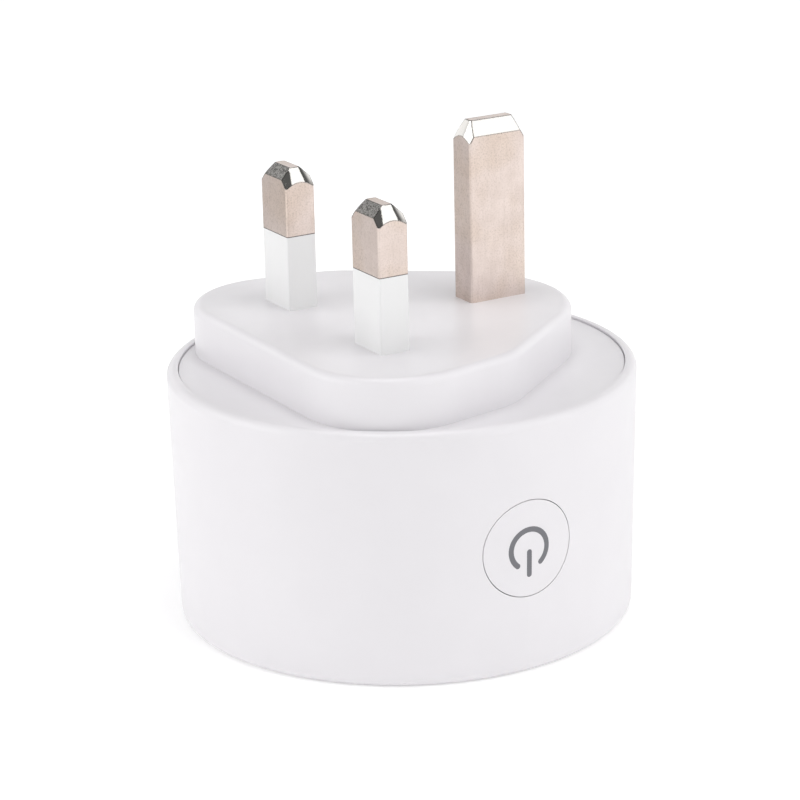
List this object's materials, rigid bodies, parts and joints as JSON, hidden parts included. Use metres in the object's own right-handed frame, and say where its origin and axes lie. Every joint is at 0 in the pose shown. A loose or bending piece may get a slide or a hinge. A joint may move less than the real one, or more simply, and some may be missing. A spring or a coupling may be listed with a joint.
{
  "type": "smart plug",
  "caption": "Round white smart plug with flat three-pin plug on the rear, shuttered outlet on the front and a flush side power button.",
  "frame": {"origin": "centre of the outlet face, which lies in Z = 0 and is the face the plug rests on here", "axes": "+Z out along the plug's pins, +Y towards the earth pin, +X towards the neutral pin and the side button"},
  "size_m": [0.058, 0.058, 0.0605],
  "materials": {
    "housing_white": "satin moulded, fine spark-eroded texture",
    "symbol_grey": "satin, second moulding shot",
    "nickel_plate": "satin nickel plating over brass, finely pitted",
    "sleeve_white": "satin moulded",
    "carrier_plastic": "matt moulded, flame-retardant",
    "shutter_plastic": "smooth low-friction moulding",
    "contact_brass": "stamped, bright",
    "spring_steel": "drawn wire",
    "screw_steel": "zinc plated",
    "circuit_board": "solder mask",
    "relay_plastic": "moulded",
    "black_plastic": "moulded",
    "plunger_plastic": "moulded",
    "copper_wire": "enamelled copper",
    "soft_iron": "plated soft iron",
    "ferrite": "sintered",
    "capacitor_sleeve": "shrink sleeve over aluminium can",
    "film_capacitor": "resin-filled box",
    "varistor_blue": "epoxy dipped",
    "resistor_coat": "cement coat",
    "shunt_alloy": "resistance alloy",
    "shield_tin": "tinned pressing",
    "led_lens": "diffused epoxy"
  },
  "bodies": {
    "housing": {"antenna": "copper_wire", "board_screws": "screw_steel", "bridge_rectifier": "black_plastic", "button_board": "circuit_board", "button_frame": "carrier_plastic", "carrier_screws": "screw_steel", "contact_carrier": "carrier_plastic", "converter_chip": "black_plastic", "current_shunt": "shunt_alloy", "earth_contact": "contact_brass", "earth_pin": "nickel_plate", "earth_strap": "contact_brass", "face_plate": "housing_white", "fixed_contact": "contact_brass", "front_shell": "housing_white", "fusible_resistor": "resistor_coat", "indicator_led": "led_lens", "inductor_core": "ferrite", "inductor_winding": "copper_wire", "input_capacitor": "capacitor_sleeve", "live_contact": "contact_brass", "live_pin": "nickel_plate", "live_pin_sleeve": "sleeve_white", "metering_chip": "black_plastic", "neutral_contact": "contact_brass", "neutral_pin": "nickel_plate", "neutral_pin_sleeve": "sleeve_white", "noise_capacitor": "film_capacitor", "output_capacitor": "capacitor_sleeve", "pin_retainer": "carrier_plastic", "power_board": "circuit_board", "radio_board": "circuit_board", "radio_chip": "black_plastic", "radio_header": "black_plastic", "radio_shield": "shield_tin", "rear_cover": "housing_white", "relay_base": "relay_plastic", "relay_bobbin": "black_plastic", "relay_case": "relay_plastic", "relay_core": "soft_iron", "relay_winding": "copper_wire", "relay_yoke": "soft_iron", "retainer_screws": "screw_steel", "shutter_spring": "spring_steel", "switch_body": "black_plastic", "varistor": "varistor_blue"},
    "button": {"button_cap": "housing_white", "power_symbol": "symbol_grey"},
    "plunger": {"switch_plunger": "plunger_plastic"},
    "shutter": {"shutter": "shutter_plastic"},
    "armature": {"relay_armature": "soft_iron", "moving_contact": "contact_brass"}
  },
  "joints": [
    {"name": "button_press", "type": "slide", "parent": "housing", "child": "button", "axis": [-1, 0, 0], "range_m": [0, 0.0005], "stiffness_N_per_m": 400, "springref_m": -0.002},
    {"name": "plunger_press", "type": "slide", "parent": "housing", "child": "plunger", "axis": [-1, 0, 0], "range_m": [0, 0.0005]},
    {"name": "shutter_slide", "type": "slide", "parent": "housing", "child": "shutter", "axis": [0, -1, 0], "range_m": [0, 0.0054], "stiffness_N_per_m": 60, "springref_m": -0.004, "deforming": ["shutter_spring"]},
    {"name": "armature_swing", "type": "hinge", "parent": "housing", "child": "armature", "pos_m": [0, -0.0116, 0.0139], "axis": [-1, 0, 0], "range_deg": [0, 3.5], "stiffness_Nm_per_rad": 0.02, "springref_deg": -3.44}
  ],
  "couplings": [
    {"joint": "plunger_press", "follows": "button_press", "ratio": 1}
  ]
}
